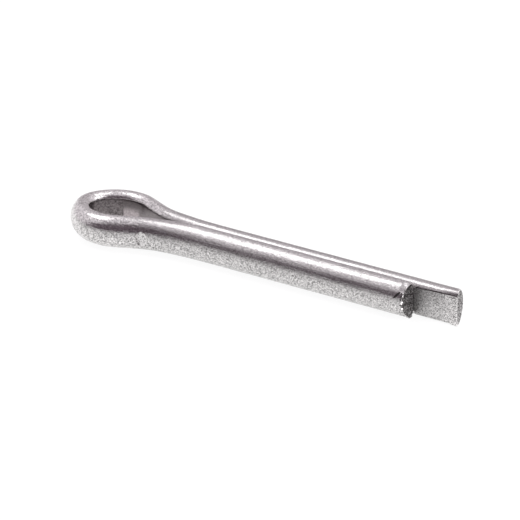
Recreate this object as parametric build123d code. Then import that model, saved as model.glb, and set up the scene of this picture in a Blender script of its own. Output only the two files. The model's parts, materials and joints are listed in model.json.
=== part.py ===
from build123d import *
import math
import os

# Split cotter pin with one long leg, for a 1/8 in hole. It is a single length of
# half-round steel wire, folded flat side to flat side, with a drop-shaped eye at the fold.
# Millimetres and degrees. The origin is on the shank's axis where the straight shank
# begins, +X runs along the shank to the free ends, +Z stands square to the eye's plane.

# Half-round wire
shank_diameter = 3.0  # over both legs
leg_gap = 0.05  # slit between the two flats
edge_radius = 0.39  # soft edges where the flat meets the round

# Legs, from the start of the straight shank
short_leg = 17.3
leg_extension = 3.65  # how far the long leg stands past the short one
short_end_slant = 5.0  # lean of the sheared end, back towards the round side
long_end_slant = 18.0
end_edge_radius = 0.08  # rolled edge that the shear leaves

# Eye, by the flat inner wall
eye_width = 3.75
nose_radius_share = 0.52  # of half the eye's width
shoulder_radius_share = 1.34  # of half the eye's width
flank_angle = 24.6  # to the shank's axis
throat_radius = 8.2
closing_radius = 29.6  # slow bend over which the legs close up
closing_angle = 8.4  # to the shank's axis, where the throat's bend takes over

# Oval flat spot left by the forming tool on the outside of the short leg's throat
spot_width = 0.85  # along the wire
spot_height = 1.36  # round the wire
spot_depth = 0.12
spot_place_share = 0.67  # of the way along the throat's bend
spot_drop = 8.0  # below the side of the wire
spot_lean = 9.0  # deeper towards the eye

cut_overrun = 1.0  # how far a cut reaches past what it cuts

shank_radius = shank_diameter / 2
half_gap = leg_gap / 2
half_eye = eye_width / 2
nose_radius = nose_radius_share * half_eye
shoulder_radius = shoulder_radius_share * half_eye
long_leg = short_leg + leg_extension


def wire_section():
    """The half-round section, with the shank's axis at its origin and the round towards +X."""
    disc = Circle(shank_radius)
    keep = Pos(half_gap, 0) * Rectangle(
        shank_diameter, shank_diameter, align=(Align.MIN, Align.CENTER)
    )
    half_round = disc & keep
    return fillet(half_round.vertices(), edge_radius)


def fold_line():
    """The line that the wire's flat follows: in along the short leg, round the eye, out along
    the long leg. Returns the whole line, and the short leg's throat bend."""
    # The nose arc begins where it is tangent inside the shoulder arc
    shoulder_turn = math.degrees(
        math.acos((shoulder_radius - half_eye) / (shoulder_radius - nose_radius))
    )
    closing_rise = closing_radius * (1 - math.cos(math.radians(closing_angle)))
    throat_rise = throat_radius * (
        math.cos(math.radians(closing_angle)) - math.cos(math.radians(flank_angle))
    )
    shoulder_fall = shoulder_radius * (1 - math.cos(math.radians(flank_angle)))
    flank_rise = half_eye - shoulder_fall - half_gap - closing_rise - throat_rise
    flank_length = flank_rise / math.sin(math.radians(flank_angle))
    throat_turn = flank_angle - closing_angle
    start = (short_leg + cut_overrun, -half_gap)
    with BuildLine() as line:
        short_run = Line(start, (0, -half_gap))
        closing = JernArc(short_run @ 1, short_run % 1, closing_radius, closing_angle)
        throat = JernArc(closing @ 1, closing % 1, throat_radius, throat_turn)
        flank = PolarLine(throat @ 1, flank_length, direction=throat % 1)
        shoulder = JernArc(
            flank @ 1, flank % 1, shoulder_radius, -flank_angle - shoulder_turn
        )
        nose = JernArc(shoulder @ 1, shoulder % 1, nose_radius, 2 * shoulder_turn - 180)
        shoulder = JernArc(
            nose @ 1, nose % 1, shoulder_radius, -flank_angle - shoulder_turn
        )
        flank = PolarLine(shoulder @ 1, flank_length, direction=shoulder % 1)
        far_throat = JernArc(flank @ 1, flank % 1, throat_radius, throat_turn)
        closing = JernArc(
            far_throat @ 1, far_throat % 1, closing_radius, closing_angle
        )
        Line(closing @ 1, (long_leg + cut_overrun, half_gap))
    return line.wire(), throat


def sheared_end(length, side, slant):
    """What the shear takes off one leg past its length. The side is -1 for the short leg, at
    -Y, and 1 for the long one. The cut starts in the slit, so it leaves the other leg whole."""
    reach = shank_radius + cut_overrun
    past = length + 2 * cut_overrun
    lean = reach * math.tan(math.radians(slant))
    outline = make_face(
        Polyline(
            (length, 0),
            (past, 0),
            (past, side * reach),
            (length - lean, side * reach),
            close=True,
        )
    )
    return extrude(outline, amount=reach, both=True)


def tool_spot(throat):
    """The flat-ended punch that leaves the spot, standing on the wire's round side."""
    drop = math.radians(spot_drop)
    lean = math.radians(spot_lean)
    up = Vector(0, 0, 1)
    ahead = throat % spot_place_share
    outward = up.cross(ahead)
    facing = outward * math.cos(drop) - up * math.sin(drop)
    punch_way = facing * math.cos(lean) + ahead * math.sin(lean)
    along = ahead * math.cos(lean) - facing * math.sin(lean)
    round_centre = (throat @ spot_place_share) - outward * half_gap
    seat = round_centre + facing * (shank_radius - spot_depth)
    foot = Ellipse(spot_width / 2, spot_height / 2)
    return extrude(Plane(origin=seat, x_dir=along, z_dir=punch_way) * foot, amount=cut_overrun)


def cotter_pin():
    fold, throat = fold_line()
    leg_end = Plane(
        origin=(short_leg + cut_overrun, 0, 0), x_dir=(0, -1, 0), z_dir=(-1, 0, 0)
    )
    pin = sweep(leg_end * wire_section(), path=fold)
    pin -= sheared_end(short_leg, -1, short_end_slant)
    pin -= sheared_end(long_leg, 1, long_end_slant)
    pin -= tool_spot(throat)
    ends = pin.faces().filter_by(GeomType.PLANE).filter_by(faces_the_free_ends)
    return fillet(ends.edges(), end_edge_radius)


def faces_the_free_ends(face):
    return face.normal_at().X > math.cos(math.radians(45))


os.makedirs("parts", exist_ok=True)
pin = cotter_pin()
pin.label = "cotter_pin"
export_step(pin, "parts/cotter_pin.step")

box = pin.bounding_box()
print("overall", box.size, "from", box.min, "to", box.max)
print("volume", pin.volume, "solids", len(pin.solids()), "valid", pin.is_valid)
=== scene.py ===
import json
import math

import bmesh
import bpy
from bpy.props import FloatProperty, FloatVectorProperty, IntProperty, PointerProperty
from mathutils import Matrix, Vector

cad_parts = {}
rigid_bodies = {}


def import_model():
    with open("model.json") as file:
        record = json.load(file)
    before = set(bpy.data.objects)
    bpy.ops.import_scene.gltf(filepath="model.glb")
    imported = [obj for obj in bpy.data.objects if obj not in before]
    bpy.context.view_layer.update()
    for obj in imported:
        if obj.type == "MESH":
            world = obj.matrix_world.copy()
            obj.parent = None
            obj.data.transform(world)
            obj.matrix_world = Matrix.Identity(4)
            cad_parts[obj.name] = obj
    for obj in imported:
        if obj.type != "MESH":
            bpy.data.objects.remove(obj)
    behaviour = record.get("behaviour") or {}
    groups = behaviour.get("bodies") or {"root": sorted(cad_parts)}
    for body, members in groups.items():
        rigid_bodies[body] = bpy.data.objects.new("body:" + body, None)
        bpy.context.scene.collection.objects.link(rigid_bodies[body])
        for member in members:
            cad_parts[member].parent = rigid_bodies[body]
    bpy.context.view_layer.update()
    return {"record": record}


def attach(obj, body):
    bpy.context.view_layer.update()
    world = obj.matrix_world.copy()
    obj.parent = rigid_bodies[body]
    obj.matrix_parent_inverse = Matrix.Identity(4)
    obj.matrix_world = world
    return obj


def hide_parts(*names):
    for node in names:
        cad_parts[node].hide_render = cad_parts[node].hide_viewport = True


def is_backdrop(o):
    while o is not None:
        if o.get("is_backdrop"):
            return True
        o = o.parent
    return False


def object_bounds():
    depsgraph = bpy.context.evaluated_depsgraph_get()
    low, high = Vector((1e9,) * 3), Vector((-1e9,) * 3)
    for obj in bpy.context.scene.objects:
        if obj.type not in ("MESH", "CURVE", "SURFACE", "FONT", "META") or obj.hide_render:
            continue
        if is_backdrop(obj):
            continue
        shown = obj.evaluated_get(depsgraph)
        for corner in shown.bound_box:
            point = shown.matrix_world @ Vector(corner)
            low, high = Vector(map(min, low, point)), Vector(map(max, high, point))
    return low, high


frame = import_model()

bl_info = {
    "name": "Cotter Pin",
    "version": (1, 0, 0),
    "blender": (4, 5, 0),
    "location": "3D View > Sidebar > Cotter Pin",
    "description": "Folds a split cotter pin from half-round wire and lays it on a white table",
    "category": "Object",
}

MM = 0.001
PIN = "cotter_pin"
SHANK = next(m for m in frame["record"]["mounts"] if m["name"] == "shank")
TUMBLED, TORN, SCALE_AND_SHADE, LEVEL, PRESSED, PITTED, BURRED = range(7)

# Ways in the pin's frame, and the side of the shank's plane on which each leg lies
LEG_WAY = Vector((1, 0, 0))
FRONT = Vector((0, -1, 0))
UP = Vector((0, 0, 1))
SHORT_SIDE = -1
LONG_SIDE = 1

# The mesh
CUT_TOLERANCE = 1e-8
ON_CUT = 0.001 * MM  # how far off a cut's plane its faces may lie
SQUARE_ON = 0.99  # how squarely they face its way, where 1 is fully
UPRIGHT = 0.05  # how far an upright face's normal may lean
ROLL_STEPS = 3  # round the rolled edge of each cut
TEAR_CELLS = 2.5  # cells of a cut's grid for each grain of torn metal
GRID_SHIFT = 0.37  # of a cell, to keep the grid off the section's own vertices
PUNCH_SIDES = 72
BLADE_SIDES = 24
BLADE_RINGS = 12
SMOOTH_BELOW = math.radians(40)

# Marks: angles are in degrees above the short leg's side
LEG_PITS = ((6.9 * MM, 69), (7.83 * MM, -3))  # along the leg, and angle
RIM_PITS = (36, 29, 20, 11, -5)
BURRS = ((21, 0.3, 1.5), (3, 0.9, 1.5), (-15, 0.9, 1.2))  # angle, and shares of the burr size
BURR_THICKNESS = 0.8  # share of the burr size
BURR_FACING = Vector((0, -0.61, 0.79))
LAP_START = (-0.2 * MM, 0.785 * MM)  # past the short leg's end, and above the shank's axis
LAP_END = (1.2 * MM, 1.04 * MM)  # past the long leg's end, and above the shank's axis
TONGUE_PAST = 0.01 * MM  # how far the dragged-out metal stands past the cut

# Stretches along the wire over which the steel's look changes
EYE_PALES = (-3.5 * MM, -8 * MM)
# The eye's inner wall: a smoother stretch whose foot is painted pale as painted reflection of the
# table, and where that painted reflection ends
SMOOTH_PAINTED_REFLECTION_STARTS = (-9.9 * MM, -9.75 * MM)
PAINTED_REFLECTION_ENDS = (-8.55 * MM, -8.35 * MM)
SKIN_WEARS_OFF = (-3.2 * MM, -1.5 * MM)
# Over which the painted shade on the long leg's flat, beside the short end's cut, fades out
FLAT_PAINTED_SHADE_FADES = (17 * MM, 20.4 * MM)
# Over which the painted shade on the short end's torn face gives way to the long end's paler tone
TORN_PAINTED_SHADE_FADES = (18 * MM, 20 * MM)
RIM_LINE = (20.8 * MM, 20.85 * MM)


def length(name, description, millimetres):
    """A length that is typed in millimetres here and kept in metres."""
    return FloatProperty(
        name=name,
        description=description,
        default=millimetres * MM,
        min=0.0,
        precision=5,
        unit="LENGTH",
    )


def angle(name, description, degrees):
    return FloatProperty(
        name=name,
        description=description,
        default=math.radians(degrees),
        subtype="ANGLE",
    )


def amount(name, description, default):
    return FloatProperty(name=name, description=description, default=default, min=0.0)


def count(name, description, default):
    return IntProperty(name=name, description=description, default=default, min=1)


def colour(name, description, default):
    return FloatVectorProperty(
        name=name,
        description=description,
        default=default,
        size=3,
        min=0.0,
        max=1.0,
        subtype="COLOR",
    )


def direction(name, description, default):
    return FloatVectorProperty(
        name=name, description=description, default=default, size=3, subtype="DIRECTION"
    )


class PinShape(bpy.types.PropertyGroup):
    """Sizes of the folded wire, by its flat inner wall."""

    shank_radius: length("Shank radius", "Over both legs' round sides", SHANK["dims"]["r_mm"])
    half_gap: length("Half gap", "From the shank's axis to each leg's flat", 0.025)
    edge_radius: length("Edge radius", "Soft edges where the flat meets the round", 0.39)
    worked_edge: length("Worked edge", "The same where bending and closing rounded them", 0.6)
    short_leg: length("Short leg", "From the start of the straight shank", 17.3)
    long_leg: length("Long leg", "From the start of the straight shank", 20.95)
    short_slant: angle("Short end slant", "Lean of the short leg's sheared end", 5.0)
    long_slant: angle("Long end slant", "Lean of the long leg's sheared end", 15.5)
    rolled_edge: length("Rolled edge", "Edge that the shear rolls over at each end", 0.08)
    half_eye: length("Half eye", "Half the eye's width inside", 1.875)
    nose_radius: length("Nose radius", "Inner bend at the tip of the eye", 0.975)
    shoulder_radius: length("Shoulder radius", "Inner bend on the eye's sides", 2.5125)
    flank_angle: angle("Flank angle", "Of the eye's straight flanks to the shank", 24.6)
    throat_radius: length("Throat radius", "Bend where the eye narrows", 8.2)
    closing_radius: length("Closing radius", "Slow bend over which the legs close", 29.6)
    closing_angle: angle("Closing angle", "Where the throat's bend takes over", 8.4)


class PinFinish(bpy.types.PropertyGroup):
    """Marks that making and tumbling left, and the steel's look."""

    ring_spacing: length("Ring spacing", "Between the mesh's rings along the wire", 0.09)
    flat_cuts: count("Flat cuts", "Mesh cuts across the flat", 23)
    edge_steps: count("Edge steps", "Mesh steps round each soft edge", 11)
    round_steps: count("Round steps", "Mesh steps round the round side", 42)
    spot_width: length("Spot width", "The forming tool's flat spot, along the wire", 0.85)
    spot_height: length("Spot height", "The spot, round the wire", 1.36)
    spot_depth: length("Spot depth", "How deep the tool pressed", 0.12)
    spot_slope: length("Spot slope", "Width of the slope round the spot", 0.06)
    spot_drop: angle("Spot drop", "Below the side of the wire", 8.0)
    spot_lean: angle("Spot lean", "Deeper towards the eye", 9.0)
    spot_place: amount("Spot place", "Share of the way along the throat's bend", 0.67)
    nick_place: length("Nick place", "Along the short leg", 16.72)
    nick_rise: angle("Nick rise", "Above the side of the wire", 22.0)
    nick_turn: angle("Nick turn", "Out of the leg's direction", 51.0)
    nick_length: length("Nick length", "Dent that the shear left", 0.8)
    nick_width: length("Nick width", "Across the dent", 0.17)
    pit_size: length("Pit size", "Small pits in the legs and in the short end's rim", 0.13)
    scratch_place: length("Scratch place", "Its middle, along the long leg's flat", 20.45)
    scratch_rise: length("Scratch rise", "Above the shank's axis", 0.75)
    scratch_length: length("Scratch length", "Along the flat", 0.9)
    scratch_width: length("Scratch width", "Across the scratch", 0.05)
    lap_width: length("Lap width", "Across the dark line along the top of that flat", 0.09)
    roll_depth: length("Roll depth", "How far the shear drew the short end's top down", 0.15)
    roll_reach: length("Roll reach", "How far along the leg it did so", 0.3)
    tongue: length("Tongue", "Metal that the shear dragged out under each end", 0.1)
    shave: length("Shave", "How much deeper the long leg's free flat lies", 0.03)
    burr_size: length("Burr size", "Crumbs on the short end's rim", 0.13)
    tear_depth: length("Tear depth", "Relief of the torn metal at the ends", 0.045)
    tear_size: length("Tear size", "Grain of the torn metal", 0.13)
    wave_depth: length("Wave depth", "Unevenness of the drawn wire", 0.016)
    wave_size: length("Wave size", "Width of that unevenness", 1.6)
    grain_size: length("Grain size", "Tumbled grain of the surface", 0.06)
    grain_depth: length("Grain depth", "Relief of the grain", 0.005)
    steel: colour("Steel", "Tumbled bare steel", (0.69, 0.675, 0.672))
    # Inside the eye this dark tone also serves as painted shade of the eye's hollow
    scale: colour("Scale", "Dark skin that drawing left inside the eye", (0.24, 0.215, 0.22))
    pit: colour("Pits", "Bottoms of small pits and of the torn metal", (0.15, 0.135, 0.135))


class Studio(bpy.types.PropertyGroup):
    """Camera, lights and table."""

    azimuth: angle("Azimuth", "Camera round the pin, from -Y towards +X", 34.634)
    elevation: angle("Elevation", "Camera above the table", 23.0)
    distance: length("Distance", "Camera to the point it aims at", 302.064)
    aim: FloatVectorProperty(
        name="Aim",
        description="Point on the shank's plane at the middle of the picture",
        default=(4.2874 * MM, -0.5809 * MM, 0.0),
        subtype="TRANSLATION",
        unit="LENGTH",
    )
    lens: FloatProperty(name="Lens", description="Focal length", default=285.583, unit="CAMERA")
    table: colour("Table", "White table top", (0.18, 0.18, 0.18))
    table_glow: amount("Table glow", "White that picture and steel see in the table", 0.9)
    table_size: length("Table size", "Side of the table top", 3000.0)
    table_dusk: amount("Table dusk", "Share of the glow that steel sees at the table's front", 0.55)
    dusk_start: length("Dusk start", "In front of the shank, where the glow starts to fade", 2.0)
    dusk_end: length("Dusk end", "In front of the shank, where it has faded", 9.0)
    room: colour("Room", "Pale walls and ceiling of the studio", (0.8, 0.755, 0.79))
    dark: colour("Dark side", "Unlit side of the studio, behind the camera", (0.12, 0.093, 0.11))
    far: colour("Far wall", "Wall that the tops of the legs mirror", (0.58, 0.54, 0.565))
    far_way: direction("Far wall's way", "From the pin, behind it to the left", (-0.41, 0.86, 0.3))
    dark_way: direction("Dark side's way", "From the pin to the unlit side", (0.35, -0.75, -0.55))
    softbox_reach: length("Softbox reach", "From the pin to each softbox", 450.0)
    softbox_side: length("Softbox side", "Of each square softbox", 235.0)
    key_power: amount("Key light power", "In watts", 0.325)
    key_way: direction("Key light's way", "From the pin, up to the left", (-0.52, -0.185, 0.834))
    top_power: amount("Top light power", "In watts", 0.2)
    top_way: direction("Top light's way", "From the pin, overhead", (0.28, 0.15, 0.95))
    side_power: amount("Side light power", "In watts", 0.3)
    side_way: direction("Side light's way", "From the pin, to the right", (0.8, 0.1, 0.5))


def only_object(piece):
    """Makes one object the selected and active one."""
    bpy.ops.object.select_all(action="DESELECT")
    piece.select_set(True)
    bpy.context.view_layer.objects.active = piece


def select_vertices(piece, wanted):
    """In edit mode, selects the vertices that pass a test, and what lies between them."""
    bpy.ops.mesh.select_mode(type="VERT")
    bpy.ops.mesh.select_all(action="DESELECT")
    mesh = bmesh.from_edit_mesh(piece.data)
    for vertex in mesh.verts:
        vertex.select = wanted(vertex)
    mesh.select_flush(True)
    bmesh.update_edit_mesh(piece.data)


def select_faces(piece, wanted):
    """In edit mode, selects the faces that pass a test."""
    bpy.ops.mesh.select_mode(type="FACE")
    bpy.ops.mesh.select_all(action="DESELECT")
    mesh = bmesh.from_edit_mesh(piece.data)
    found = [face for face in mesh.faces if wanted(face)]
    for face in found:
        face.select_set(True)
    bmesh.update_edit_mesh(piece.data)


def slice_off(place, across):
    """In edit mode, cuts the selection off past a plane and closes the cut."""
    bpy.ops.mesh.bisect(
        plane_co=place, plane_no=across, use_fill=True, clear_outer=True, threshold=CUT_TOLERANCE
    )
    bpy.ops.mesh.select_all(action="SELECT")
    bpy.ops.mesh.normals_make_consistent(inside=False)


def spin(steps, turn, centre, axis):
    """Spins the selection by the right-hand rule. The operator itself turns the other way."""
    bpy.ops.mesh.spin(steps=steps, angle=-turn, center=centre, axis=axis)


class Fold:
    """Carries the wire's section along its flat wall, one run or bend after another."""

    def __init__(self, piece, start, spacing, depth):
        self.piece = piece
        self.place = start
        self.heading = math.pi
        self.spacing = spacing
        self.depth = depth

    def steps(self, distance):
        return max(1, round(distance / self.spacing))

    def run(self, distance, steps=None):
        """Draws the section straight on, and cuts the run into even rings."""
        step = Vector((math.cos(self.heading), math.sin(self.heading), 0)) * distance
        bpy.ops.mesh.extrude_region_move(TRANSFORM_OT_translate={"value": step})
        mesh = bmesh.from_edit_mesh(self.piece.data)
        mesh.verts.index_update()
        front = {vertex.index for vertex in mesh.verts if vertex.select}
        cuts = (steps or self.steps(distance)) - 1
        if cuts:
            self.cut_rings(front, cuts)
        self.place = self.place + step

    def cut_rings(self, front, cuts):
        """Cuts the edges that lead up to the front ring, and selects that ring again."""
        bpy.ops.mesh.select_mode(type="EDGE")
        bpy.ops.mesh.select_all(action="DESELECT")
        mesh = bmesh.from_edit_mesh(self.piece.data)
        for edge in mesh.edges:
            ends = [vertex.index in front for vertex in edge.verts]
            edge.select_set(ends.count(True) == 1)
        bmesh.update_edit_mesh(self.piece.data)
        bpy.ops.mesh.subdivide(number_cuts=cuts)
        select_vertices(self.piece, lambda vertex: vertex.index in front)

    def centre(self, radius, turn):
        """The centre of a bend, on the left where the turn is positive."""
        left = Vector((-math.sin(self.heading), math.cos(self.heading), 0))
        return self.place + left * math.copysign(radius, turn)

    def ahead(self, radius, turn):
        """The place and heading after a bend."""
        centre = self.centre(radius, turn)
        place = centre + Matrix.Rotation(turn, 3, "Z") @ (self.place - centre)
        return place, self.heading + turn

    def bend(self, radius, turn):
        """Spins the section about the bend's centre."""
        widest = radius if turn > 0 else radius + self.depth
        spin(self.steps(widest * abs(turn)), turn, self.centre(radius, turn), (0, 0, 1))
        self.place, self.heading = self.ahead(radius, turn)


def edge_place(shape, edge_radius):
    """The distance from the shank's plane and the height of the soft edge's centre, and the angle
    from upright at which it runs into the round side."""
    corner = shape.half_gap + edge_radius
    reach = shape.shank_radius - edge_radius
    return corner, math.sqrt(reach**2 - corner**2), math.asin(corner / reach)


def draw_section(shape, finish, start):
    """Draws the half-round section of the short leg's end from one vertex, and leaves it selected
    in edit mode."""
    corner, height, tilt = edge_place(shape, shape.edge_radius)
    bpy.ops.object.select_all(action="DESELECT")
    bpy.ops.mesh.primitive_plane_add(size=shape.edge_radius)
    piece = bpy.context.object
    bpy.ops.object.mode_set(mode="EDIT")
    bpy.ops.mesh.select_all(action="SELECT")
    bpy.ops.mesh.merge(type="CENTER")
    bpy.ops.transform.translate(value=(start.x, start.y, -height))
    bpy.ops.mesh.extrude_region_move(TRANSFORM_OT_translate={"value": (0, 0, 2 * height)})
    bpy.ops.mesh.select_all(action="SELECT")
    bpy.ops.mesh.subdivide(number_cuts=finish.flat_cuts)
    top = height - shape.edge_radius / finish.flat_cuts
    select_vertices(piece, lambda vertex: vertex.co.z > top)
    arcs = [
        (finish.edge_steps, math.pi / 2 + tilt, (start.x, -corner, height)),
        (finish.round_steps, math.pi - 2 * tilt, (start.x, 0, 0)),
        (finish.edge_steps, math.pi / 2 + tilt, (start.x, -corner, -height)),
    ]
    for steps, turn, centre in arcs:
        spin(steps, turn, centre, (1, 0, 0))
    bpy.ops.mesh.select_all(action="SELECT")
    bpy.ops.mesh.remove_doubles(threshold=shape.half_gap / 10)
    weigh_edges(piece, shape)
    bpy.ops.mesh.select_all(action="SELECT")
    return piece


def weigh_edges(piece, shape):
    """Keeps in a vertex group, as a share of the edge radius, how far each vertex of the section
    lies outside a section with the worked edges. The folded wire inherits it."""
    group = piece.vertex_groups.new(name="worked")
    near, near_height, near_tilt = edge_place(shape, shape.edge_radius)
    corner, height, tilt = edge_place(shape, shape.worked_edge)
    mesh = bmesh.from_edit_mesh(piece.data)
    weights = mesh.verts.layers.deform.verify()
    for vertex in mesh.verts:
        place = Vector((vertex.co.y, abs(vertex.co.z)))
        lean = math.atan2(-place.x, place.y)
        if place.y < height or lean > tilt:
            continue
        if place.y < near_height:
            outward = Vector((1, 0))
        elif lean > near_tilt:
            outward = place.normalized()
        else:
            outward = (place - Vector((-near, near_height))).normalized()
        from_centre = place - Vector((-corner, height))
        along = from_centre.dot(outward)
        past = from_centre.length_squared - shape.worked_edge**2
        inset = along - math.sqrt(along**2 - past)
        vertex[weights][group.index] = max(inset, 0) / shape.edge_radius
    bmesh.update_edit_mesh(piece.data)


def plain_reach(shape, slant):
    """How far either side of a leg's cut the wire has no rings."""
    return 2 * shape.shank_radius * math.tan(slant)


def fold_wire(shape, finish):
    """Folds the wire: in along the short leg, round the eye, out along the long leg."""
    short_plain = plain_reach(shape, shape.short_slant)
    long_plain = plain_reach(shape, shape.long_slant)
    start = Vector((shape.short_leg + short_plain, -shape.half_gap, 0))
    piece = draw_section(shape, finish, start)
    piece.name = "folded_wire"
    depth = shape.shank_radius - shape.half_gap
    fold = Fold(piece, start, finish.ring_spacing, depth)
    throat_turn = shape.flank_angle - shape.closing_angle
    shoulder_turn = math.acos(
        (shape.shoulder_radius - shape.half_eye) / (shape.shoulder_radius - shape.nose_radius)
    )
    closing_rise = shape.closing_radius * (1 - math.cos(shape.closing_angle))
    throat_rise = shape.throat_radius * (
        math.cos(shape.closing_angle) - math.cos(shape.flank_angle)
    )
    shoulder_fall = shape.shoulder_radius * (1 - math.cos(shape.flank_angle))
    flank_rise = shape.half_eye - shoulder_fall - shape.half_gap - closing_rise - throat_rise
    flank = flank_rise / math.sin(shape.flank_angle)

    fold.run(2 * short_plain, steps=1)
    fold.run(shape.short_leg - short_plain)
    fold.bend(shape.closing_radius, shape.closing_angle)
    spot = fold.ahead(shape.throat_radius, finish.spot_place * throat_turn)
    fold.bend(shape.throat_radius, throat_turn)
    fold.run(flank)
    fold.bend(shape.shoulder_radius, -shape.flank_angle - shoulder_turn)
    fold.bend(shape.nose_radius, 2 * shoulder_turn - math.pi)
    fold.bend(shape.shoulder_radius, -shape.flank_angle - shoulder_turn)
    fold.run(flank)
    fold.bend(shape.throat_radius, throat_turn)
    fold.bend(shape.closing_radius, shape.closing_angle)
    fold.run(shape.long_leg - long_plain)
    fold.run(2 * long_plain, steps=1)
    bpy.ops.mesh.select_all(action="SELECT")
    bpy.ops.mesh.normals_make_consistent(inside=False)
    bpy.ops.object.mode_set(mode="OBJECT")
    return piece, spot


def worked(shape, place):
    """How much bending and closing rounded the wire's edges at a place, from 0 to 1: fully round
    the eye and along the long leg's top up to near its end, less along the short leg's top, and
    not at all under the legs."""
    eye_start = 0.7 * shape.shank_radius
    eye_run = 2.5 * shape.shank_radius
    end_run = 1.3 * shape.shank_radius
    short_top = 0.3
    end_top = 0.5
    eye = (-place.x - eye_start) / eye_run
    top = 0
    if place.z > 0:
        back = min(max((shape.long_leg - place.x) / end_run, 0), 1)
        top = short_top if place.y < 0 else end_top + (1 - end_top) * back
    return min(max(eye, top), 1)


def soften_edges(piece, shape):
    """Rounds the wire's edges further where it was worked most."""
    only_object(piece)
    group = piece.vertex_groups["worked"]
    for vertex in piece.data.vertices:
        for entry in vertex.groups:
            if entry.group == group.index:
                entry.weight = entry.weight * worked(shape, vertex.co)
    softer = piece.modifiers.new("softer", "DISPLACE")
    softer.vertex_group = group.name
    softer.mid_level = 0.0
    softer.strength = -shape.edge_radius
    bpy.ops.object.modifier_apply(modifier=softer.name)


def shear_end(piece, shape, side, leg, slant):
    """Cuts one leg off on its slant, from its last ring on, and closes the cut."""
    across = Vector((math.cos(slant), side * math.sin(slant), 0))
    near = leg - 1.01 * plain_reach(shape, slant)
    select_vertices(piece, lambda v: v.co.x > near and v.co.y * side > 0)
    slice_off((leg, 0, 0), across)
    return across


def on_cut(face, side, leg, across):
    """Whether a face lies in one leg's cut."""
    middle = face.calc_center_median()
    level = abs((middle - Vector((leg, 0, 0))).dot(across)) < ON_CUT
    return level and middle.y * side > 0 and face.normal.dot(across) > SQUARE_ON


def tear_end(piece, finish, shape, side, leg, across):
    """Rolls the rim of a cut over and cuts its face into a grid that can be roughened. The long
    end's rim is left bright."""
    select_faces(piece, lambda face: on_cut(face, side, leg, across))
    bpy.ops.mesh.region_to_loop()
    bpy.ops.mesh.bevel(offset=shape.rolled_edge, segments=ROLL_STEPS, affect="EDGES")
    select_faces(piece, lambda face: on_cut(face, side, leg, across))
    bpy.ops.mesh.hide(unselected=True)
    pitch = finish.tear_size / TEAR_CELLS
    half = int(shape.shank_radius / pitch)
    for way in (UP, UP.cross(across)):
        for step in range(-half, half + 1):
            bpy.ops.mesh.select_all(action="SELECT")
            line = Vector((leg, 0, 0)) + way * (step + GRID_SHIFT) * pitch
            bpy.ops.mesh.bisect(plane_co=line, plane_no=way, threshold=CUT_TOLERANCE)
    bpy.ops.mesh.select_all(action="SELECT")
    piece.vertex_groups.active = piece.vertex_groups["torn"]
    bpy.ops.object.vertex_group_assign()
    bpy.ops.mesh.reveal(select=False)
    if side == LONG_SIDE:
        for step in range(ROLL_STEPS):
            bpy.ops.mesh.select_more()
        assign_finish(piece, BURRED)
        select_faces(piece, lambda face: on_cut(face, side, leg, across))
    assign_finish(piece, TORN)


def roll_end(piece, shape, finish):
    """Draws the top of the short leg's end down past its last ring, as the shear did."""
    near = shape.short_leg - 0.9 * plain_reach(shape, shape.short_slant)
    high = 0.6 * shape.shank_radius
    select_vertices(piece, lambda v: v.co.x > near and v.co.y < 0 and v.co.z > high)
    bpy.ops.transform.translate(
        value=(0, 0, -finish.roll_depth),
        use_proportional_edit=True,
        use_proportional_connected=True,
        proportional_edit_falloff="SMOOTH",
        proportional_size=finish.roll_reach,
    )


def assign_finish(piece, slot):
    """In edit mode, gives the selected faces one of the piece's materials."""
    piece.active_material_index = slot
    bpy.ops.object.material_slot_assign()


def finish_flats(piece, shape):
    """Gives the wire's flat side its own steel, with a dark tone inside the eye: partly the scale
    that drawing left out of the tumbler's reach, partly painted shade of the eye's hollow. That
    dark tone also reaches a little onto the eye's upper edge."""
    throat = -2 * shape.shank_radius
    eye_middle = -shape.shoulder_radius - 4 * shape.shank_radius
    upper_lean = 0.2
    bend_lean = 0.2
    under_lean = 0.1

    def flat(face, inside_eye):
        place = face.calc_center_median()
        inward = Vector((max(eye_middle - place.x, 0), -place.y, 0))
        lean = upper_lean if inside_eye and place.z > 0 else UPRIGHT
        upright = abs(face.normal.z) < lean and face.normal.dot(inward) > 0.5 * inward.length
        if not inside_eye:
            upright = upright and abs(face.normal.x) < bend_lean
        return upright and (place.x < throat) == inside_eye

    def flat_or_under(face):
        """The long leg's free end keeps the flat's steel on the soft edge below it too."""
        place = face.calc_center_median()
        free = place.x > shape.short_leg and place.y > 0 and abs(face.normal.x) < UPRIGHT
        return flat(face, False) or (free and place.z < 0 and face.normal.y < -under_lean)

    select_faces(piece, flat_or_under)
    assign_finish(piece, LEVEL)
    select_faces(piece, lambda face: flat(face, True))
    assign_finish(piece, SCALE_AND_SHADE)


def cut_away(piece, tool, operation="DIFFERENCE"):
    """Cuts a tool's shape out of the piece, or joins it on, and removes the tool."""
    only_object(piece)
    cut = piece.modifiers.new(tool.name, "BOOLEAN")
    cut.object = tool
    cut.operation = operation
    cut.solver = "MANIFOLD"
    bpy.ops.object.modifier_apply(modifier=cut.name)
    only_object(tool)
    bpy.ops.object.delete()
    only_object(piece)


def give_finishes(tool, piece, slot):
    """Gives a tool the piece's materials, with one of them all over."""
    for material in piece.data.materials:
        tool.data.materials.append(material)
    for face in tool.data.polygons:
        face.material_index = slot


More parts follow.
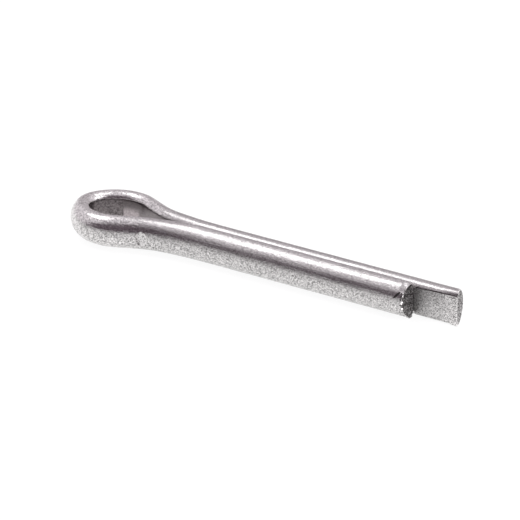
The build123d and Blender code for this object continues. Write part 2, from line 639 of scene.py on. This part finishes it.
def press_spot(piece, shape, finish, place, heading):
    """Presses the forming tool's oval spot into the outside of the short leg's throat."""
    ahead = Vector((math.cos(heading), math.sin(heading), 0))
    outward = UP.cross(ahead)
    facing = outward * math.cos(finish.spot_drop) - UP * math.sin(finish.spot_drop)
    punch_way = facing * math.cos(finish.spot_lean) + ahead * math.sin(finish.spot_lean)
    along = ahead * math.cos(finish.spot_lean) - facing * math.sin(finish.spot_lean)
    turn = Matrix((along, punch_way.cross(along), punch_way)).transposed().to_euler()
    seat = place - outward * shape.half_gap + facing * (shape.shank_radius - finish.spot_depth)
    foot = finish.spot_width / 2 - finish.spot_slope / 2
    rise = 3 * finish.spot_depth
    bpy.ops.object.select_all(action="DESELECT")
    bpy.ops.mesh.primitive_cone_add(
        vertices=PUNCH_SIDES,
        radius1=foot,
        radius2=foot + finish.spot_slope * rise / finish.spot_depth,
        depth=rise,
        location=seat + punch_way * rise / 2,
        rotation=turn,
        scale=(1, finish.spot_height / finish.spot_width, 1),
    )
    punch = bpy.context.object
    punch.name = "punch"
    give_finishes(punch, piece, PRESSED)
    cut_away(piece, punch)


def add_blade(place, facing, along, size):
    """A blade in the shape of a long ball, as long, wide and deep as its size says."""
    axes = Matrix((along, facing.cross(along), facing)).transposed()
    bpy.ops.object.select_all(action="DESELECT")
    bpy.ops.mesh.primitive_uv_sphere_add(
        segments=BLADE_SIDES,
        ring_count=BLADE_RINGS,
        radius=0.5,
        location=place,
        rotation=axes.to_euler(),
        scale=size,
    )
    return bpy.context.object


def join_tools(tools, name):
    """Makes one tool of several that don't overlap."""
    only_object(tools[0])
    for tool in tools:
        tool.select_set(True)
    bpy.ops.object.join()
    tools[0].name = name
    return tools[0]


def dent_legs(piece, shape, finish):
    """Leaves the shear's nick, the small pits and the scratch on the long leg's flat, with the
    pit at that leg's end."""

    def on_round(along, rise):
        facing = Vector((0, -math.cos(rise), math.sin(rise)))
        return Vector((along, 0, 0)) + facing * shape.shank_radius, facing

    place, facing = on_round(finish.nick_place, finish.nick_rise)
    round_way = LEG_WAY.cross(facing)
    along = LEG_WAY * math.cos(finish.nick_turn) - round_way * math.sin(finish.nick_turn)
    nick = (finish.nick_length, finish.nick_width, finish.nick_width)
    blades = [add_blade(place, facing, along, nick)]
    rim = shape.short_leg - shape.shank_radius * math.tan(shape.short_slant)
    behind_rim = 0.7 * finish.pit_size
    rim_pits = [(rim - behind_rim, rise) for rise in RIM_PITS]
    for along_leg, rise in (*LEG_PITS, *rim_pits):
        place, facing = on_round(along_leg, math.radians(rise))
        blades.append(add_blade(place, facing, LEG_WAY, [finish.pit_size] * 3))
    flat = shape.half_gap + finish.shave
    place = Vector((finish.scratch_place, flat, finish.scratch_rise))
    scratch = (finish.scratch_length, finish.scratch_width, finish.scratch_width)
    blades.append(add_blade(place, FRONT, LEG_WAY, scratch))
    end_pit_rise = 1.4 * finish.scratch_rise
    end_pit_size = 1.2 * finish.pit_size
    place = Vector((shape.long_leg, flat, end_pit_rise))
    blades.append(add_blade(place, FRONT, LEG_WAY, [end_pit_size] * 3))
    blade = join_tools(blades, "blades")
    give_finishes(blade, piece, PITTED)
    cut_away(piece, blade)


def score_lap(piece, shape, finish):
    """Leaves the dark line along the top of the long leg's free flat: a shallow groove whose bottom
    is painted near-black as shade.
    """
    flat = shape.half_gap + finish.shave
    start = Vector((shape.short_leg + LAP_START[0], flat, LAP_START[1]))
    end = Vector((shape.long_leg + LAP_END[0], flat, LAP_END[1]))
    size = ((end - start).length, finish.lap_width, finish.lap_width)
    lap = add_blade((start + end) / 2, FRONT, (end - start).normalized(), size)
    lap.name = "lap"
    give_finishes(lap, piece, PITTED)
    cut_away(piece, lap)


def add_tongue(piece, centre, size, leg, across, slot):
    """A lump of metal that ends a hair past the cut."""
    tongue = add_blade(centre, UP, LEG_WAY, size)
    give_finishes(tongue, piece, slot)
    bpy.ops.object.mode_set(mode="EDIT")
    bpy.ops.mesh.select_all(action="SELECT")
    slice_off((leg + TONGUE_PAST, 0, 0), across)
    bpy.ops.object.mode_set(mode="OBJECT")
    return tongue


def drag_ends(piece, shape, finish, cuts):
    """Leaves the metal that the shear dragged out: a flap under the short end and a ridge along
    the lower edge of the long leg's flat."""
    corner, height, _ = edge_place(shape, shape.edge_radius)
    drag = finish.tongue
    low = height + shape.edge_radius - 0.7 * drag
    flap = Vector((shape.short_leg, -corner, -low))
    flap_size = (5 * drag, 5 * drag, 2 * drag)
    ridge = Vector((shape.long_leg, shape.half_gap + 1.2 * drag, -height - 1.5 * drag))
    ridge_size = (20 * drag, 2.4 * drag, 4.4 * drag)
    tongues = [
        add_tongue(piece, flap, flap_size, shape.short_leg, cuts[0], TORN),
        add_tongue(piece, ridge, ridge_size, shape.long_leg, cuts[1], LEVEL),
    ]
    cut_away(piece, join_tools(tongues, "tongues"), "UNION")


def shave_flat(piece, shape, finish):
    """Shaves the long leg's free flat, clear of the crumbs, which leaves a crisp edge along it."""
    start = shape.short_leg + 1.5 * finish.burr_size
    size = Vector((shape.long_leg, shape.shank_radius, 4 * shape.shank_radius))
    near = Vector((start, shape.half_gap + finish.shave, 0))
    bpy.ops.object.select_all(action="DESELECT")
    bpy.ops.mesh.primitive_cube_add(
        size=1, location=near + Vector((size.x / 2, -size.y / 2, 0)), scale=size
    )
    plane = bpy.context.object
    plane.name = "plane"
    give_finishes(plane, piece, LEVEL)
    cut_away(piece, plane)


def raise_burrs(piece, shape, finish):
    """Leaves a few crumbs of bright metal on the rim of the short leg's end."""
    axes = Matrix((LEG_WAY, BURR_FACING.cross(LEG_WAY), BURR_FACING)).transposed()
    burrs = []
    for rise, wide, tall in BURRS:
        outward = Vector((0, -math.cos(math.radians(rise)), math.sin(math.radians(rise))))
        lean = Vector((outward.y * math.tan(shape.short_slant), 0, 0))
        rim = Vector((shape.short_leg, 0, 0)) + (outward + lean) * shape.shank_radius
        bpy.ops.object.select_all(action="DESELECT")
        bpy.ops.mesh.primitive_cube_add(
            size=finish.burr_size,
            location=rim + LEG_WAY * finish.burr_size / 2,
            rotation=axes.to_euler(),
            scale=(wide, tall, BURR_THICKNESS),
        )
        give_finishes(bpy.context.object, piece, BURRED)
        burrs.append(bpy.context.object)
    cut_away(piece, join_tools(burrs, "burrs"), "UNION")


def roughen(piece, name, size, depth, group=None, hard=False):
    """Moves the surface in and out by a cloudy pattern, all over or where a vertex group says."""
    pattern = bpy.data.textures.new(name, "CLOUDS")
    pattern.noise_scale = size
    pattern.noise_depth = 2
    pattern.noise_type = "HARD_NOISE" if hard else "SOFT_NOISE"
    rough = piece.modifiers.new(name, "DISPLACE")
    rough.texture = pattern
    rough.texture_coords = "LOCAL"
    if group:
        rough.vertex_group = group
    rough.strength = depth
    bpy.ops.object.modifier_apply(modifier=rough.name)


def add_node(tree, kind, inputs=None, **settings):
    """Adds a shader node. Its inputs are sockets to link or plain values."""
    node = tree.nodes.new(kind)
    for name, value in settings.items():
        setattr(node, name, value)
    for name, value in (inputs or {}).items():
        if isinstance(value, bpy.types.NodeSocket):
            tree.links.new(value, node.inputs[name])
        else:
            node.inputs[name].default_value = value
    return node


def calculate(tree, operation, *values):
    """The result of a Math node. Its values are sockets to link or plain numbers."""
    inputs = dict(enumerate(values))
    return add_node(tree, "ShaderNodeMath", inputs, operation=operation).outputs[0]


def new_material(name):
    """An empty material, its node tree, and the places on the surface that its patterns follow."""
    material = bpy.data.materials.new(name)
    material.use_nodes = True
    tree = material.node_tree
    tree.nodes.clear()
    return material, tree, add_node(tree, "ShaderNodeTexCoord").outputs["Object"]


def rgba(colour_value):
    return (*colour_value, 1.0)


def noise(tree, place, size, detail=2.0, roughness=0.5):
    """A cloudy pattern with features of about the given size."""
    return add_node(
        tree,
        "ShaderNodeTexNoise",
        {"Vector": place, "Scale": 1 / size, "Detail": detail, "Roughness": roughness},
    ).outputs["Fac"]


def map_range(tree, value, low, high, to_low=0.0, to_high=1.0, smooth=False):
    return add_node(
        tree,
        "ShaderNodeMapRange",
        {"Value": value, "From Min": low, "From Max": high, "To Min": to_low, "To Max": to_high},
        interpolation_type="SMOOTHSTEP" if smooth else "LINEAR",
    ).outputs["Result"]


def mix_colour(tree, share, first, second):
    node = add_node(tree, "ShaderNodeMix", {"Factor": share}, data_type="RGBA")
    for socket, value in ((node.inputs[6], first), (node.inputs[7], second)):
        if isinstance(value, bpy.types.NodeSocket):
            tree.links.new(value, socket)
        else:
            socket.default_value = value
    return node.outputs[2]


def bump(tree, height, distance, normal=None):
    inputs = {"Height": height, "Distance": distance, "Strength": 1.0}
    if normal is not None:
        inputs["Normal"] = normal
    return add_node(tree, "ShaderNodeBump", inputs).outputs["Normal"]


def stretched(tree, place, share):
    """Places for a pattern that is drawn out along the legs."""
    return add_node(
        tree, "ShaderNodeMapping", {"Vector": place, "Scale": (share, 1, 1)}
    ).outputs["Vector"]


def steel_shader(material, tree, base, rough, tilt):
    shader = add_node(
        tree,
        "ShaderNodeBsdfPrincipled",
        {"Base Color": base, "Metallic": 1.0, "Roughness": rough, "Normal": tilt},
    )
    add_node(tree, "ShaderNodeOutputMaterial", {"Surface": shader.outputs["BSDF"]})
    return material


def shaded(colour_value, share):
    """A colour made darker, or paler where the share is over 1."""
    return rgba([share * x for x in colour_value])


def crystals(tree, place, size):
    """A random tone for each grain of about the given size, and the height of the grain."""
    grains = add_node(tree, "ShaderNodeTexVoronoi", {"Vector": place, "Scale": 1 / size})
    tone = add_node(tree, "ShaderNodeSeparateXYZ", {0: grains.outputs["Color"]}).outputs["X"]
    return tone, grains.outputs["Distance"]


def tumbled_steel(finish):
    """Bare drawn steel after tumbling: a fine peppery grain with faint lines along the legs, paler
    round the eye, where the wire was bent. The lower side is painted paler, as painted reflection
    of the white table, and the grain is weaker on top, painted lighter where the key light's
    highlight falls."""
    material, tree, place = new_material("tumbled_steel")
    along, _, height = add_node(tree, "ShaderNodeSeparateXYZ", {0: place}).outputs
    eye = map_range(tree, along, *EYE_PALES, smooth=True)
    # Painted reflection: the steel is painted paler towards the bottom, where it mirrors the white
    # table, and its grain weaker on top, where the key light's highlight falls
    low = map_range(tree, height, 0.6 * MM, -0.2 * MM)
    tone, hollow = crystals(tree, place, finish.grain_size)
    mottle = noise(tree, place, 8 * finish.grain_size, 3.0, 0.6)
    lines = noise(tree, stretched(tree, place, 0.07), 3 * finish.grain_size, 2.0, 0.5)
    top = map_range(tree, eye, 0.0, 1.0, 0.45, 0.65)
    depth = add_node(
        tree, "ShaderNodeMapRange", {"Value": low, "To Min": top, "To Max": 0.9}
    ).outputs["Result"]
    peppered = calculate(tree, "MULTIPLY", map_range(tree, tone, 0.75, 0.0), depth)
    # Painted reflection: the lower side of the legs and of the eye is painted paler than the top
    legs = mix_colour(tree, low, shaded(finish.steel, 0.95), shaded(finish.steel, 1.18))
    bent = mix_colour(tree, low, shaded(finish.steel, 1.33), shaded(finish.steel, 1.36))
    pale = mix_colour(tree, eye, legs, bent)
    base = mix_colour(tree, peppered, pale, shaded(finish.steel, 0.1))
    clouded = map_range(tree, mottle, 0.4, 0.75, 0.0, 0.18)
    base = mix_colour(tree, clouded, base, shaded(finish.steel, 0.5))
    smooth = map_range(tree, mottle, 0.3, 0.7, 0.2, 0.27)
    rough = calculate(tree, "MULTIPLY_ADD", eye, -0.03, smooth)
    tilt = bump(tree, lines, 3 * finish.grain_depth)
    tilt = bump(tree, mottle, 0.3 * finish.grain_depth, tilt)
    tilt = bump(tree, hollow, finish.grain_depth, tilt)
    return steel_shader(material, tree, base, rough, tilt)


def torn_steel(finish):
    """Steel that the shear tore: dark and rough, with crumbs painted darker at the short end, as
    painted shade, than at the long end.
    """
    material, tree, place = new_material("torn_steel")
    tone, hollow = crystals(tree, place, finish.grain_size)
    along = add_node(tree, "ShaderNodeSeparateXYZ", {0: place}).outputs["X"]
    # Painted shade: the short end's torn face is painted darker than the long end's
    out_of_painted_shade = map_range(tree, along, *TORN_PAINTED_SHADE_FADES)
    crumbs = mix_colour(tree, out_of_painted_shade, shaded(finish.steel, 0.9), shaded(finish.steel, 1.25))
    bright = map_range(tree, tone, 0.45, 0.95)
    base = mix_colour(tree, bright, shaded(finish.pit, 0.4), crumbs)
    tilt = bump(tree, hollow, 2 * finish.grain_depth)
    return steel_shader(material, tree, base, rough=0.45, tilt=tilt)


def scale_and_shade_steel(finish):
    """The dark wall inside the eye: partly the scale that drawing left, partly painted shade of the
    eye's hollow, wearing off towards the throat. Along a smoother stretch the wall's foot is
    painted pale, as painted reflection of the table inside the eye."""
    material, tree, place = new_material("scale_and_shade_steel")
    along, _, height = add_node(tree, "ShaderNodeSeparateXYZ", {0: place}).outputs
    tone, hollow = crystals(tree, place, finish.grain_size)
    peppered = map_range(tree, tone, 0.8, 0.0)
    # Painted shade: the wall inside the eye is darkened for shade of its hollow, on top of the
    # drawing scale
    skin_and_painted_shade = mix_colour(tree, peppered, shaded(finish.scale, 1.25), shaded(finish.scale, 0.2))
    # A smoother stretch of the wall, whose foot is painted pale as painted reflection of the table
    smooth_with_painted_reflection = map_range(tree, along, *SMOOTH_PAINTED_REFLECTION_STARTS)
    past = map_range(tree, along, *PAINTED_REFLECTION_ENDS)
    low = map_range(tree, height, 0.3 * MM, -0.25 * MM, smooth=True)
    # Painted reflection: the foot of that stretch is painted much paler than its top
    painted_reflection_wall = mix_colour(tree, low, shaded(finish.scale, 0.85), shaded(finish.scale, 2.1))
    painted_reflection_wall = mix_colour(tree, past, painted_reflection_wall, shaded(finish.scale, 1.05))
    speckled = map_range(tree, tone, 0.8, 0.0, 0.0, 0.45)
    painted_reflection_wall = mix_colour(tree, speckled, painted_reflection_wall, shaded(finish.scale, 0.5))
    base = mix_colour(tree, smooth_with_painted_reflection, skin_and_painted_shade, painted_reflection_wall)
    # The dark tone, scale and painted shade, gives way to steel towards the throat
    painted_shade_fade = map_range(tree, along, *SKIN_WEARS_OFF, smooth=True)
    base = mix_colour(tree, painted_shade_fade, base, shaded(finish.steel, 0.9))
    rough = map_range(tree, smooth_with_painted_reflection, 0.0, 1.0, 0.36, 0.27)
    tilt = bump(tree, hollow, finish.grain_depth)
    return steel_shader(material, tree, base, rough, tilt)


def level_steel(finish):
    """The legs' flats: rougher than the round side, painted darker beside the short leg's dark cut
    as painted shade and paler towards the long leg's end, with a broken bright line along its cut."""
    material, tree, place = new_material("level_steel")
    along = add_node(tree, "ShaderNodeSeparateXYZ", {0: place}).outputs["X"]
    tone, hollow = crystals(tree, place, 0.8 * finish.grain_size)
    peppered = map_range(tree, tone, 0.75, 0.0)
    # Painted shade: the flat is painted darker beside the short leg's dark cut, and paler towards
    # the long leg's end
    painted_shade_fade = map_range(tree, along, *FLAT_PAINTED_SHADE_FADES)
    skin_and_painted_shade = mix_colour(tree, painted_shade_fade, shaded(finish.steel, 0.6), shaded(finish.steel, 1.33))
    base = mix_colour(tree, peppered, skin_and_painted_shade, shaded(finish.steel, 0.12))
    broken = map_range(tree, tone, 0.1, 0.55)
    rim = calculate(tree, "MULTIPLY", map_range(tree, along, *RIM_LINE), broken)
    base = mix_colour(tree, rim, base, shaded(finish.steel, 1.4))
    tilt = bump(tree, hollow, finish.grain_depth)
    return steel_shader(material, tree, base, rough=0.38, tilt=tilt)


def pressed_steel(finish):
    """The bottom of the tool's spot: bright, with dark grains pressed in."""
    material, tree, place = new_material("pressed_steel")
    grains = noise(tree, place, 1.8 * finish.grain_size, 2.0, 0.6)
    dark = map_range(tree, grains, 0.48, 0.36)
    base = mix_colour(tree, dark, shaded(finish.steel, 1.15), shaded(finish.steel, 0.15))
    tilt = bump(tree, grains, 3 * finish.grain_depth)
    return steel_shader(material, tree, base, rough=0.36, tilt=tilt)


def pitted_steel(finish):
    """Dark bottoms of the nick, the pits, the scratch and the line along the free flat, painted
    near-black as shade in these hollows.
    """
    material, tree, place = new_material("pitted_steel")
    grains = noise(tree, place, finish.grain_size, 2.0, 0.6)
    tilt = bump(tree, grains, finish.grain_depth)
    # Painted shade: the near-black bottoms stand for the shade in these hollows
    return steel_shader(material, tree, shaded(finish.pit, 0.5), rough=0.5, tilt=tilt)


def burred_steel(finish):
    """Fresh bright metal of the crumbs and of the long end's rim, with dark gaps."""
    material, tree, place = new_material("burred_steel")
    grains = noise(tree, place, 2 * finish.grain_size, 2.0, 0.6)
    bright = map_range(tree, grains, 0.42, 0.54)
    base = mix_colour(tree, bright, shaded(finish.steel, 0.5), shaded(finish.steel, 1.4))
    tilt = bump(tree, grains, finish.grain_depth / 2)
    return steel_shader(material, tree, base, rough=0.25, tilt=tilt)


def table_top(studio):
    """A white table that keeps the pin's shadow. Picture and steel also see its glow, which fades
    towards the unlit side for the steel, and starts to fade a little further out at the eye."""
    material, tree, place = new_material("white_table")
    matt = add_node(tree, "ShaderNodeBsdfDiffuse", {"Color": rgba(studio.table)})
    along, depth, _ = add_node(tree, "ShaderNodeSeparateXYZ", {0: place}).outputs
    eye = map_range(tree, along, -4 * MM, -12 * MM, 0.0, 1.3 * MM)
    depth = calculate(tree, "ADD", depth, eye)
    dusk = map_range(tree, depth, -studio.dusk_start, -studio.dusk_end, 1.0, studio.table_dusk)
    path = add_node(tree, "ShaderNodeLightPath").outputs
    picture = calculate(tree, "ADD", path["Is Camera Ray"], path["Is Transmission Ray"])
    seen = calculate(tree, "MULTIPLY_ADD", path["Is Glossy Ray"], dusk, picture)
    strength = calculate(tree, "MULTIPLY", seen, studio.table_glow)
    glow = add_node(tree, "ShaderNodeEmission", {"Strength": strength})
    both = add_node(tree, "ShaderNodeAddShader", {0: matt.outputs[0], 1: glow.outputs[0]})
    add_node(tree, "ShaderNodeOutputMaterial", {"Surface": both.outputs[0]})
    return material


def set_table(studio):
    bpy.ops.object.select_all(action="DESELECT")
    bpy.ops.mesh.primitive_plane_add(size=studio.table_size, location=(0, 0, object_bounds()[0].z))
    table = bpy.context.object
    table.name = "table_top"
    table.data.materials.append(table_top(studio))
    table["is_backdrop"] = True


def set_softbox(studio, name, way, power):
    """A square softbox that faces the pin from the given way."""
    way = Vector(way).normalized()
    bpy.ops.object.light_add(
        type="AREA",
        location=Vector(studio.aim) + way * studio.softbox_reach,
        rotation=(-way).to_track_quat("-Z", "Y").to_euler(),
    )
    softbox = bpy.context.object
    softbox.name = name
    softbox.data.shape = "SQUARE"
    softbox.data.size = studio.softbox_side
    softbox.data.energy = power
    softbox.visible_camera = False


def set_room(studio):
    """Pale walls all round, with a greyer one behind the pin and an unlit side behind the camera.
    The picture itself sees white."""
    world = bpy.data.worlds.new("room")
    bpy.context.scene.world = world
    world.use_nodes = True
    tree = world.node_tree
    tree.nodes.clear()
    way = add_node(tree, "ShaderNodeTexCoord").outputs["Generated"]

    def towards(place):
        place = Vector(place).normalized()
        return add_node(
            tree, "ShaderNodeVectorMath", {0: way, 1: place}, operation="DOT_PRODUCT"
        ).outputs["Value"]

    unlit = map_range(tree, towards(studio.dark_way), -0.06, 0.3, smooth=True)
    far = map_range(tree, towards(studio.far_way), 0.8, 0.95, smooth=True)
    tone = mix_colour(tree, far, rgba(studio.room), rgba(studio.far))
    tone = mix_colour(tree, unlit, tone, rgba(studio.dark))
    walls = add_node(tree, "ShaderNodeBackground", {"Color": tone})
    white = add_node(tree, "ShaderNodeBackground", {"Color": (1, 1, 1, 1)})
    camera_ray = add_node(tree, "ShaderNodeLightPath").outputs["Is Camera Ray"]
    seen = add_node(
        tree, "ShaderNodeMixShader", {0: camera_ray, 1: walls.outputs[0], 2: white.outputs[0]}
    )
    add_node(tree, "ShaderNodeOutputWorld", {"Surface": seen.outputs[0]})


def set_camera(studio):
    across = math.cos(studio.elevation)
    back = Vector(
        (
            math.sin(studio.azimuth) * across,
            -math.cos(studio.azimuth) * across,
            math.sin(studio.elevation),
        )
    )
    bpy.ops.object.camera_add(
        location=Vector(studio.aim) + back * studio.distance,
        rotation=(-back).to_track_quat("-Z", "Y").to_euler(),
    )
    camera = bpy.context.object
    camera.data.lens = studio.lens
    camera.data.clip_start = studio.distance / 100
    bpy.context.scene.camera = camera


class COTTERPIN_OT_add_pin(bpy.types.Operator):
    """Fold the half-round wire into the pin, shear its ends and finish its steel"""

    bl_idname = "cotterpin.add_pin"
    bl_label = "Add Cotter Pin"

    def execute(self, context):
        shape = context.scene.pin_shape
        finish = context.scene.pin_finish
        piece, spot = fold_wire(shape, finish)
        soften_edges(piece, shape)
        # In the order of the finishes' numbers
        steels = (
            tumbled_steel,
            torn_steel,
            scale_and_shade_steel,
            level_steel,
            pressed_steel,
            pitted_steel,
            burred_steel,
        )
        for steel in steels:
            piece.data.materials.append(steel(finish))
        piece.vertex_groups.new(name="torn")
        ends = [
            (SHORT_SIDE, shape.short_leg, shape.short_slant),
            (LONG_SIDE, shape.long_leg, shape.long_slant),
        ]
        bpy.ops.object.mode_set(mode="EDIT")
        cuts = []
        for side, leg, slant in ends:
            across = shear_end(piece, shape, side, leg, slant)
            tear_end(piece, finish, shape, side, leg, across)
            cuts.append(across)
        finish_flats(piece, shape)
        roll_end(piece, shape, finish)
        bpy.ops.object.mode_set(mode="OBJECT")
        drag_ends(piece, shape, finish, cuts)
        roughen(piece, "tear", finish.tear_size, finish.tear_depth, "torn", hard=True)
        roughen(piece, "wave", finish.wave_size, finish.wave_depth)
        raise_burrs(piece, shape, finish)
        shave_flat(piece, shape, finish)
        press_spot(piece, shape, finish, *spot)
        dent_legs(piece, shape, finish)
        score_lap(piece, shape, finish)
        bpy.ops.object.shade_smooth_by_angle(angle=SMOOTH_BELOW)
        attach(piece, "root")
        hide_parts(PIN)
        return {"FINISHED"}


class COTTERPIN_OT_set_stage(bpy.types.Operator):
    """Set the white table, the softboxes, the pale room and the camera"""

    bl_idname = "cotterpin.set_stage"
    bl_label = "Set Stage"

    def execute(self, context):
        studio = context.scene.pin_studio
        set_table(studio)
        set_softbox(studio, "key_light", studio.key_way, studio.key_power)
        set_softbox(studio, "top_light", studio.top_way, studio.top_power)
        set_softbox(studio, "side_light", studio.side_way, studio.side_power)
        set_room(studio)
        set_camera(studio)
        context.scene.view_settings.view_transform = "Standard"
        return {"FINISHED"}


class COTTERPIN_PT_panel(bpy.types.Panel):
    """Lists the pin's and the stage's operators"""

    bl_idname = "COTTERPIN_PT_panel"
    bl_label = "Cotter Pin"
    bl_space_type = "VIEW_3D"
    bl_region_type = "UI"
    bl_category = "Cotter Pin"

    def draw(self, context):
        self.layout.operator(COTTERPIN_OT_add_pin.bl_idname)
        self.layout.operator(COTTERPIN_OT_set_stage.bl_idname)


CLASSES = (
    PinShape,
    PinFinish,
    Studio,
    COTTERPIN_OT_add_pin,
    COTTERPIN_OT_set_stage,
    COTTERPIN_PT_panel,
)


def register():
    for each in CLASSES:
        bpy.utils.register_class(each)
    bpy.types.Scene.pin_shape = PointerProperty(type=PinShape)
    bpy.types.Scene.pin_finish = PointerProperty(type=PinFinish)
    bpy.types.Scene.pin_studio = PointerProperty(type=Studio)


def unregister():
    del bpy.types.Scene.pin_studio
    del bpy.types.Scene.pin_finish
    del bpy.types.Scene.pin_shape
    for each in reversed(CLASSES):
        bpy.utils.unregister_class(each)


def main():
    register()
    bpy.ops.cotterpin.add_pin()
    bpy.ops.cotterpin.set_stage()


if __name__ == "__main__":
    main()
